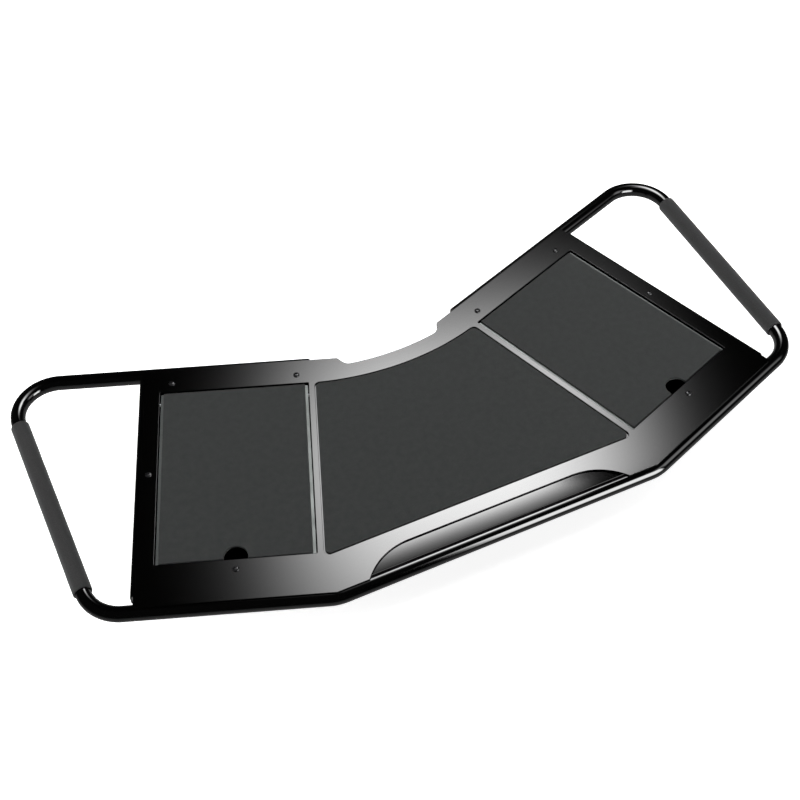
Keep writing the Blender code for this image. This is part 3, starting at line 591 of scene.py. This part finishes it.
def foam_rubber():
    """Skinless foam sleeve: open pores with painted shade in their hollows and painted light on the cut walls
    between them, and worn patches.
    """
    material, shader = new_finish("grip_foam", (0.025, 0.025, 0.025), 0.9)
    tree = material.node_tree
    pores = grain(tree, "cells", 1100.0)
    wear = grain(tree, "noise", 45.0, 4.0)
    # Painted shade and light: each pore's hollow is painted darker and the cut walls between pores lighter.
    pore_shade = spread_value(tree, pores, 0, 1, 0.1, 0.6)
    tone = tint(tree, pore_shade, (0.017, 0.017, 0.018), (0.031, 0.031, 0.031))
    tree.links.new(tone, shader.inputs["Base Color"])
    first = relief(tree, shader, wear, 0.00015, 0.4)
    relief(tree, shader, pores, 0.0002, 0.8, first)
    shader.inputs["Sheen Weight"].default_value = 0.15
    shader.inputs["Specular IOR Level"].default_value = 0.25
    return material


def rubber(name, tone, roughness):
    """Moulded rubber: matt, with a fine grain and a bloom that comes and goes."""
    material, shader = new_finish(name, (tone,) * 3, roughness)
    tree = material.node_tree
    bloom = grain(tree, "noise", 80.0, 4.0)
    skin = grain(tree, "noise", 900.0, 3.0)
    tree.links.new(tint(tree, spread_value(tree, bloom, 0, 1), (tone * 0.8,) * 3, (tone * 1.4,) * 3),
                   shader.inputs["Base Color"])
    tree.links.new(spread_value(tree, bloom, roughness * 0.85, roughness * 1.1), shader.inputs["Roughness"])
    relief(tree, shader, skin, 0.00005, 0.5)
    return material


felt = pad_cloth()
foam = foam_rubber()
wheel_rubber = rubber("wheel_rubber", 0.018, 0.55)
stop_rubber = rubber("stop_rubber", 0.014, 0.7)
plug_plastic = rubber("plug_plastic", 0.010, 0.38)

# %% Bare and plated steel

def steel(name, colour, roughness, along=(1, 1, 1), metallic=1.0):
    """Steel with rolling or polishing marks drawn out along one way, and a few duller clouds."""
    material, shader = new_finish(name, colour, roughness, metallic)
    tree = material.node_tree
    marks = grain(tree, "noise", 900.0, 3.0, along)
    cloud = grain(tree, "noise", 50.0, 4.0)
    tree.links.new(spread_value(tree, cloud, roughness * 0.8, roughness * 1.25), shader.inputs["Roughness"])
    dark, light = [c * 0.88 for c in colour], [c * 1.1 for c in colour]
    tree.links.new(tint(tree, spread_value(tree, marks, 0, 1), dark, light), shader.inputs["Base Color"])
    relief(tree, shader, marks, 0.00002, 0.4)
    return material


lid_steel = steel("lid_brushed_steel", (0.075, 0.080, 0.078), 0.38, (0.04, 1, 1))
zinc = steel("zinc_plate", (0.56, 0.57, 0.60), 0.32)
black_screw = steel("black_oxide", (0.014, 0.014, 0.015), 0.28, (1, 1, 1), 0.2)

# %% [markdown]
# ## The frame tube
# One steel tube runs all the way: across the front, out along each wing, round both corners of a handle, and
# back along the wing's rear edge to its open end. A curve with a round bevel is the natural way to make it. The
# bends are worked out as arcs between straight runs, because a bent tube has exactly that shape.

# %% Frame tube
fit_gap = 0.0003
tube_radius = 0.010
tube_depth = 0.0123
tube_bend = 0.052
tube_front_bend = 0.060
tube_back = 0.375
tube_end = 0.020
handle_x = 0.501


def bend(corner, before, after, radius, steps):
    angle = before.angle(after)
    start = corner - before * radius * math.tan(angle / 2)
    side = 1 if before.cross(after) > 0 else -1
    centre = start + Vector((-before.y, before.x)) * side * radius
    return [centre + Matrix.Rotation(side * angle * i / steps, 2) @ (start - centre) for i in range(steps + 1)]


def tube_route():
    along = Vector((math.cos(wing_angle), math.sin(wing_angle)))
    front_corner = Vector((handle_x, (handle_x - half_front) / along.x * along.y))
    back_end = Vector(wing_point(tube_end, tube_back))
    back_corner = back_end + along * (handle_x - back_end.x) / along.x
    half = bend(Vector((half_front, 0)), Vector((1, 0)), along, tube_front_bend, 10)
    half += bend(front_corner, along, Vector((0, 1)), tube_bend, 20)
    half += bend(back_corner, Vector((0, 1)), -along, tube_bend, 28)
    half.append(back_end)
    return [Vector((-p.x, p.y)) for p in reversed(half)] + half


tube_curve = bpy.data.curves.new("frame_tube", "CURVE")
tube_curve.dimensions = "3D"
tube_curve.bevel_depth = tube_radius
tube_curve.bevel_resolution = 10
tube_spline = tube_curve.splines.new("POLY")
tube_places = tube_route()
tube_spline.points.add(len(tube_places) - 1)
for point, place in zip(tube_spline.points, tube_places):
    point.co = (place.x, place.y, -tube_depth, 1)
tube_mesh = cleaned(mesh_of(bpy.data.objects.new("frame_tube", tube_curve)), 80, 2)
fit_out("frame_tube_painted", tube_mesh, deck_frame, tube_paint, "chassis", "tube_paint", "frame_tube")
print("frame tube:", len(tube_mesh.vertices), "points")

# %% Plugs in the two open ends of the tube
plug_profile = [(0, 0.0022), (0.0060, 0.0021), (0.0084, 0.0016), (0.0094, 0.0009), (0.0096, 0.0003),
                (0.0079, 0.0003), (0.0079, -0.0120), (0, -0.0120)]
plug_mesh = turned(plug_profile)
for side, sign in sides.items():
    place = wing_frame(sign) @ moved(sign * tube_end, tube_back, -tube_depth) @ spun(-sign * 90, "Y")
    fit_out(f"tube_plug_moulded_{side}", plug_mesh, place, plug_plastic, "chassis", "plug_plastic",
            f"tube_plug_{side}")

# %% [markdown]
# ## Foam grips
# A foam sleeve is pushed over each outer bar. It is a soft tube with rounded lips, a hair thicker in places
# where it was stretched on. A turned profile gives the form, and a slow noise moves the skin in and out by a
# tenth of a millimetre so that its outline isn't ruled with a straight edge.

# %% Foam grips
grip_radius = 0.01225
grip_lip = 0.0014
grip_unevenness = 0.00014
grip_rings = 120
grip_facets = 40
lip_turns = [math.radians(15 * i) for i in range(7)]


def grip_mesh(length, seed):
    bore = tube_radius + 0.0004
    end = length / 2 - grip_lip
    inner = grip_radius - grip_lip
    bm = bmesh.new()
    rows = []
    heights = [-length / 2 + length * i / grip_rings for i in range(grip_rings + 1)]
    profile = [(bore, -length / 2 + grip_lip * 0.3)]
    profile += [(inner + grip_lip * math.sin(a), -end - grip_lip * math.cos(a)) for a in lip_turns]
    profile += [(grip_radius, z) for z in heights if abs(z) < length / 2 - 1.5 * grip_lip]
    profile += [(inner + grip_lip * math.cos(a), end + grip_lip * math.sin(a)) for a in lip_turns]
    profile.append((bore, length / 2 - grip_lip * 0.3))
    for radius, z in profile:
        row = []
        for i in range(grip_facets):
            a = 2 * math.pi * i / grip_facets
            soft = noise.noise(Vector((math.cos(a) * 0.8, math.sin(a) * 0.8, z * 45 + seed)))
            r = radius + (grip_unevenness * soft if radius > bore else 0)
            row.append(bm.verts.new((r * math.cos(a), r * math.sin(a), z)))
        rows.append(row)
    rows.append(rows[0])
    for lower, upper in zip(rows, rows[1:]):
        for i in range(grip_facets):
            after = (i + 1) % grip_facets
            bm.faces.new((lower[i], lower[after], upper[after], upper[i]))
    mesh = bpy.data.meshes.new("grip")
    bm.to_mesh(mesh)
    bm.free()
    return cleaned(mesh, 60)


for side, sign in sides.items():
    low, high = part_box(f"foam_grip_{side}")
    centre = [(a + b) / 2 for a, b in zip(low, high)]
    place = moved(*centre) @ spun(90, "X")
    grip = fit_out(f"foam_sleeve_{side}", grip_mesh(high[1] - low[1], 3.0 * sign), place, foam, "chassis",
                   "grip_foam", f"foam_grip_{side}")
print(f"grips: {(high[1] - low[1]) * 1000:.0f} mm long")

# %% [markdown]
# ## The deck sheet
# The deck is one sheet of steel, cut to a chevron with a scoop at the front, a shallow arc at the back, two
# windows for the lids and a window for the mat. Its outline is a list of corners and arcs for one half, and its
# mirror image. The two outer ends are folded down, and the fold is a small rolled strip that meets the sheet.

# %% Deck outline
deck_thickness = 0.002
deck_end = 0.2456
deck_back = 0.375
arc_centre = 0.6728
deck_arc = 0.350
mat_arc = 0.375
mat_side = 0.0137
mat_front = 0.0535
mat_corner = 0.007
mat_gap = 0.0015
deck_corner_front = 0.004
deck_corner_back = 0.003
tab_end = -0.019
tab_corner = 0.005
arc_end = 0.069
arc_fillet = 0.012
arc_drawn_to = 0.055
scoop_depth = 0.0324
scoop_flat = 0.115
scoop_half = 0.1813
window = (0.0216, 0.2216, 0.058, 0.3345)
window_corner = 0.0015
screw_hole = 0.0026
screw_places = [(0.0376, 0.349), (0.2056, 0.349), (0.2322, 0.197), (0.1216, 0.044)]
scoop_radius = ((scoop_half - scoop_flat) ** 2 + scoop_depth ** 2) / (2 * scoop_depth)


def scoop_edge(x):
    beyond = max(abs(x) - scoop_flat, 0)
    return scoop_depth - scoop_radius + math.sqrt(scoop_radius ** 2 - beyond ** 2)


def rear_arc(radius, end_x, steps=24):
    angle = math.asin(end_x / radius)
    points = arc((0, arc_centre), radius, -math.pi / 2 + angle, -math.pi / 2, steps)
    return [(x, y, 0) for x, y in points][:-1]


def deck_outline():
    half = []
    steps = 24
    for i in range(steps + 1):
        x = scoop_flat + (scoop_half - scoop_flat) * i / steps
        half.append((x, scoop_edge(x), 0))
    half.append((half_front, 0, 0))
    half.append((*wing_point(deck_end, 0), deck_corner_front))
    half.append((*wing_point(deck_end, deck_back), deck_corner_back))
    half.append((*wing_point(tab_end, deck_back), tab_corner))
    half.append((arc_end, arc_centre - math.sqrt(deck_arc ** 2 - arc_end ** 2), arc_fillet))
    return rounded(mirrored(half + rear_arc(deck_arc, arc_drawn_to)))


def side_meets_arc(along, radius):
    low, high = 0.1, 0.5
    for _ in range(40):
        middle = (low + high) / 2
        x, y = wing_point(along, middle)
        low, high = (middle, high) if math.hypot(x, y - arc_centre) > radius else (low, middle)
    return wing_point(along, low)


def mat_outline(inset, corner):
    front = mat_front + inset
    side = mat_side - inset
    across = (front - side * math.sin(wing_angle)) / math.cos(wing_angle)
    back_corner = side_meets_arc(side, mat_arc + inset)
    half = [(*wing_point(side, across), corner), (*back_corner, corner)]
    return rounded(mirrored(half + rear_arc(mat_arc + inset, back_corner[0] - 2.5 * corner)))


# %% Deck sheet with its folded ends
fold_radius = 0.004
fold_depth = 0.016
fold_inset = 0.016


def folded_end():
    """The rolled strip at a wing's end, as a profile drawn out across the wing."""
    centre = (deck_end, -fold_radius)
    inner = fold_radius - deck_thickness
    profile = arc(centre, fold_radius, math.pi / 2, 0, 10)
    profile += [(deck_end + fold_radius, -fold_depth), (deck_end + inner, -fold_depth)]
    profile += arc(centre, inner, 0, math.pi / 2, 10)
    strip = plate([profile], fold_inset, deck_back - fold_inset, 0.0002)
    strip.transform(swap_y_z)
    strip.flip_normals()
    return strip


def deck_holes():
    outlines = [mat_outline(0, mat_corner)]
    flat_wing = {sign: deck_frame.inverted() @ wing_frame(sign) for sign in sides.values()}
    for sign in sides.values():
        holes = [circle(spot, screw_hole) for spot in screw_places]
        for outline in [rectangle(*window, window_corner), *holes]:
            placed = [flat_wing[sign] @ Vector((sign * x, y, 0)) for x, y in outline]
            outlines.append([(p.x, p.y) for p in placed])
    return outlines


deck_sheet = plate([deck_outline(), *deck_holes()], -deck_thickness, 0, 0.0004)
strip = folded_end()
parts = [(deck_sheet, still)]
for sign in sides.values():
    parts.append((flipped(strip, sign), deck_frame.inverted() @ wing_frame(sign)))
fit_out("deck_sheet", joined(parts), deck_frame, deck_paint, "chassis", "deck_paint", "deck")
frame["nodes"]["centre_panel"].data.materials.clear()
frame["nodes"]["centre_panel"].data.materials.append(deck_paint)

# %% [markdown]
# ## The scoop's trough
# Below the scoop lies a sheet bent about one axis only. It starts just under the scoop's edge and falls by two
# millimetres to the front tube, more and more steeply, so it mirrors the lamp as a tone that fades smoothly.
# Its front edge is hemmed down behind the tube, so no floor shows between them. A grid whose points are moved
# by a formula gives such a free surface, and a thickness is added afterwards.

# %% Trough
trough_front = 0.0081
trough_end_run = 0.0005
trough_lap = 0.006
trough_drop = 0.0020
trough_first_slope = 0.27
trough_thickness = 0.0012
trough_hem = ((0.0082, -0.0056), (0.0088, -0.0062), (0.0095, -0.0070), (0.0104, -0.0090), (0.0112, -0.0125))


def trough_height(y):
    share = min(max((scoop_depth - y) / (scoop_depth - trough_front), 0), 1)
    fall = trough_drop * (trough_first_slope * share + (1 - trough_first_slope) * share ** 2)
    return -deck_thickness - 2 * fit_gap - fall


def trough_mesh():
    end = scoop_half + trough_lap
    across_count, down_count = 120, 30
    row_count = down_count + len(trough_hem)
    bm = bmesh.new()
    bmesh.ops.create_grid(bm, x_segments=across_count, y_segments=row_count, size=0.5)
    for vert in bm.verts:
        x = 2 * vert.co.x * end
        row = round((0.5 - vert.co.y) * row_count)
        if row > down_count:
            vert.co = (x, *trough_hem[row - down_count - 1])
            continue
        edge = max(scoop_edge(x), trough_front + trough_end_run)
        y = edge + (trough_front - edge) * (row - 1) / (down_count - 1) if row else edge + trough_lap
        vert.co = (x, y, trough_height(y))
    mesh = bpy.data.meshes.new("trough")
    bm.to_mesh(mesh)
    bm.free()
    thing = bpy.data.objects.new("trough", mesh)
    sheet = thing.modifiers.new("sheet", "SOLIDIFY")
    sheet.thickness = trough_thickness
    sheet.offset = -1
    return cleaned(mesh_of(thing), 60, 2)


fit_out("trough_pressed", trough_mesh(), deck_frame, deck_paint, "chassis", "trough_paint", "front_trough")

# %% [markdown]
# ## Mat and lid pads
# The mat and the two pads are thin sheets of dense foam with a felt face, die-cut and glued down. They lie
# flat because they are glued, so their form is in the cut edge, which is slightly pressed and rounded. The
# surface gets a very slow unevenness, as glued felt always has.

# %% Mat and pads
lid_side_gap = 0.0012
lid_end_gap = 0.0016
lid_rim = 0.004
notch_radius = 0.015
notch_depth = 0.0184
mat_heights = (-0.0020, 0.0002)
pad_heights = (-0.0030, -0.0008)


def lid_outline(side_inset, end_inset):
    """A lid's rectangle with the half-round finger notch in its front edge."""
    x0 = window[0] + lid_side_gap + side_inset
    x1 = window[1] - lid_side_gap - side_inset
    y0 = window[2] + lid_end_gap + end_inset
    y1 = window[3] - lid_end_gap - end_inset
    middle = (x0 + x1) / 2
    centre_y = window[2] + lid_end_gap + notch_depth - notch_radius
    notch = arc((middle, centre_y), notch_radius, math.pi, 0, 32)
    front = [(x0, y0), (middle - notch_radius, y0), *notch, (middle + notch_radius, y0), (x1, y0)]
    return [*front, (x1, y1), (x0, y1)]


mat = fit_out("mat_felt", plate([mat_outline(mat_gap, mat_corner)], *mat_heights, 0.0007), deck_frame, felt,
              "chassis", "pad_fabric", "centre_mat")
pad_mesh = plate([lid_outline(lid_rim, 0.0004)], *pad_heights, 0.0006)
for side, sign in sides.items():
    pad = fit_out(f"lid_felt_{side}", flipped(pad_mesh, sign), wing_frame(sign), felt, f"lid_{side}",
                  "pad_fabric", f"lid_pad_{side}")

# %% [markdown]
# ## Lids
# A lid is a brushed steel plate. The pad leaves a narrow bare strip at its two sides. Two ears are folded down
# at the back, and a rod through both of them turns in the tray's side walls. The rod is a plain turned part.

# %% Lid panels and hinge rods
hinge_across = 0.318
hinge_depth = 0.0072
ear_inset = 0.0017
ear_thickness = 0.0015
ear_corner = 0.002
lid_heights = (-0.0048, -0.0033)
rod_radius = 0.0020
rod_reach = 0.0022
rod_chamfer = 0.0005


def lid_panel():
    panel = plate([lid_outline(0, 0)], *lid_heights, 0.0003)
    ear_along = (hinge_across - 0.009, hinge_across + 0.006)
    ear_upright = (-hinge_depth - 0.0045, -0.0040)
    hole = circle((hinge_across, -hinge_depth), rod_radius + fit_gap)
    ear = plate([rectangle(*ear_along, *ear_upright, ear_corner), hole], 0, ear_thickness, 0.0002)
    ear.transform(stood_up)
    near = window[0] + lid_side_gap + ear_inset
    far = window[1] - lid_side_gap - ear_inset - ear_thickness
    return joined([(panel, still), (ear, moved(near, 0, 0)), (ear, moved(far, 0, 0))])


def hinge_rod():
    near, far = window[0] - rod_reach, window[1] + rod_reach
    tip = rod_radius - rod_chamfer
    rod = turned([(0, far), (tip, far), (rod_radius, far - rod_chamfer), (rod_radius, near + rod_chamfer),
                  (tip, near), (0, near)], 24)
    rod.transform(moved(0, hinge_across, -hinge_depth) @ spun(90, "Y"))
    return rod


panel_mesh = lid_panel()
rod_mesh = hinge_rod()
for side, sign in sides.items():
    fit_out(f"lid_plate_{side}", flipped(panel_mesh, sign), wing_frame(sign), lid_steel, f"lid_{side}",
            "lid_metal", f"lid_panel_{side}")
    fit_out(f"lid_hinge_rod_{side}", flipped(rod_mesh, sign), wing_frame(sign), zinc, f"lid_{side}",
            "zinc_steel", f"lid_rod_{side}")

# %% [markdown]
# ## Trays, stops and screws
# Under each window hangs a pressed tray. The frame's own trays have the right shape, so they keep their mesh
# and get the deck's paint. The rubber stops and the dome screws are small, but an eye close to the deck finds
# them at once, so they get their true rounded form. The screws have a six-sided socket cut in the head.

# %% Trays, stops, screws
for side in sides:
    tray = frame["nodes"][f"tray_{side}"]
    tray.data.materials.clear()
    tray.data.materials.append(deck_paint)


def dome_screw():
    """A dome head with a hexagon socket, and its shank."""
    head, rise, shank, tip, length, socket_size = 0.0042, 0.0023, 0.0023, 0.0018, 0.009, 0.0017
    turns = [math.radians(9 * i) for i in range(11)]
    dome = [(head * math.sin(a), fit_gap + (rise - fit_gap) * math.cos(a)) for a in turns]
    dome[0] = (0, rise)
    screw = turned([*dome, (shank, fit_gap), (shank, 0.0005 - length), (tip, -length), (0, -length)], 36)
    socket = plate([circle((0, 0), socket_size, 6)], 0.0009, 0.0035, 0.0)
    return cut(screw, socket)


screw_mesh = dome_screw()
screw_names = ["back_inner", "back_outer", "outer", "front"]
stop_mesh = turned([(0, -0.0051), (0.0028, -0.0051), (0.0034, -0.0053), (0.0045, -0.0077), (0, -0.0077)], 32)
for side, sign in sides.items():
    for place, (along, across) in zip(screw_names, screw_places):
        spot = wing_frame(sign) @ moved(sign * along, across, 0)
        fit_out(f"dome_screw_{place}_{side}", screw_mesh, spot, black_screw, "chassis", "screw_steel",
                f"deck_screw_{place}_{side}")
    for place in ("inner", "outer"):
        low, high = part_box(f"lid_bumper_{place}_{side}")
        spot = moved((low[0] + high[0]) / 2, (low[1] + high[1]) / 2, deck_top)
        fit_out(f"lid_stop_{place}_{side}", stop_mesh, spot, stop_rubber, "chassis", "bumper_rubber",
                f"lid_bumper_{place}_{side}")

# %% [markdown]
# ## Casters
# Each caster hangs on a threaded stem through the tray's floor. Its fork swivels on the stem, and the wheel
# turns on an axle behind it, so the wheel trails. All six are alike: every piece is modelled once, drawn about
# the swivel's top, and placed six times. The wheel has a tread, a recessed web and a hub, as moulded wheels do.

# %% Caster pieces
caster_drop = 0.028
trail = 0.018
wheel_radius = 0.025
wheel_width = 0.020
axle_height = wheel_radius - (deck_top - caster_drop)
crown_top = -0.0036
crown_thickness = 0.0025
leg_inside = wheel_width / 2 + 0.0012
leg_thickness = 0.0023
axle_radius = 0.0040
axle_head = 0.0062
boss_radius = 0.0075
neck_radius = 0.0040
caster_bevel = 0.0004


def wheel():
    half = wheel_width / 2
    rim = [(axle_radius + fit_gap, half), (0.0082, half), (0.0090, half - 0.0006), (0.0098, half - 0.0030),
           (0.0110, half - 0.0036), (0.0185, half - 0.0036), (0.0195, half - 0.0030),
           (0.0203, half - 0.0008), (0.0215, half - 0.0003), (0.0232, half - 0.0010),
           (0.0244, half - 0.0024), (0.0249, half - 0.0045), (wheel_radius, half - 0.0070)]
    mesh = turned(rim + [(radius, -z) for radius, z in reversed(rim)], 64)
    mesh.transform(spun(90, "Y"))
    return mesh


def fork():
    crown_half = leg_inside + leg_thickness
    crown_outline = rectangle(-crown_half, crown_half, -0.0145, 0.0245, 0.004)
    crown_hole = circle((0, 0), neck_radius + fit_gap)
    crown = plate([crown_outline, crown_hole], crown_top - crown_thickness, crown_top, caster_bevel)
    profile = [(-0.0120, crown_top - 2 * fit_gap), (0.0235, crown_top - 2 * fit_gap)]
    profile += arc((trail, axle_height), boss_radius, 0, -math.pi * 0.88, 24)
    axle_hole = circle((trail, axle_height), axle_radius + fit_gap)
    leg = plate([profile, axle_hole], 0, leg_thickness, caster_bevel)
    leg.transform(stood_up)
    return joined([(crown, still), (leg, moved(leg_inside, 0, 0)),
                   (leg, moved(-leg_inside - leg_thickness, 0, 0))])


def axle():
    """A bolt with a hexagon head on one side and a nut on the other."""
    outside = leg_inside + leg_thickness + fit_gap
    end = outside + 0.0020
    shank = turned([(0, end), (axle_radius - 0.0010, end), (axle_radius, end - 0.0010), (axle_radius, -outside),
                    (0, -outside)], 32)
    head = plate([circle((0, 0), axle_head, 6)], -end, -outside, 0.0003)
    nut = plate([circle((0, 0), axle_head, 6)], outside, outside + 0.0016, 0.0003)
    mesh = joined([(shank, still), (head, still), (nut, still)])
    mesh.transform(spun(90, "Y"))
    return mesh


def stem():
    """The threaded stem, its collar over the ball race, and the riveted head under the fork's crown."""
    pitch, root, crest, top = 0.0011, 0.0046, 0.0050, 0.0100
    thread = []
    for i in range(8):
        z = top - 0.0005 - i * pitch
        thread += [(root, z), (crest, z - pitch / 2)]
    head = crown_top - crown_thickness - fit_gap
    seat = crown_top + fit_gap
    collar = [(0.0110, -fit_gap), (0.0118, -0.0008), (0.0120, -0.0018), (0.0116, -0.0030), (0.0105, seat)]
    rivet = [(0.0065, head), (0.0062, head - 0.0010), (0.0050, head - 0.0018), (0, head - 0.0018)]
    profile = [(0, top), (0.0042, top), *thread, (crest, -fit_gap), *collar, (neck_radius, seat),
               (neck_radius, head), *rivet]
    return turned(profile, 48)


def stem_nut():
    """A hexagon nut with softened edges, on the tray's floor."""
    size, bore, low, high = 0.0090, 0.0053, 0.0015, 0.0065
    return plate([circle((0, 0), size, 6), circle((0, 0), bore, 32)], low, high, caster_bevel)


caster_parts = {"caster_stem": (stem(), zinc, "zinc_steel", "chassis", (0, 0)),
                "stem_nut": (stem_nut(), zinc, "zinc_steel", "chassis", (0, 0)),
                "caster_fork": (fork(), zinc, "zinc_steel", "swivel", (0, 0)),
                "caster_axle": (axle(), zinc, "zinc_steel", "swivel", (trail, axle_height)),
                "caster_wheel": (wheel(), wheel_rubber, "wheel_rubber", "wheel", (trail, axle_height))}

# %% Six casters in their places
caster_places = ["inner_front", "outer_front", "outer_back"]
for side in sides:
    for place in caster_places:
        label = f"{place}_{side}"
        x, y, _ = hinges[f"caster_{label}_swivel"]["pos_m"]
        for kind, (mesh, finish, slot, body, (behind, up)) in caster_parts.items():
            owner = body if body == "chassis" else f"{body}_{label}"
            spot = moved(x, y + behind, deck_top - caster_drop + up)
            fit_out(f"{kind}_finished_{label}", mesh, spot, finish, owner, slot, f"{kind}_{label}")
print("casters placed:", len(caster_places) * len(sides))
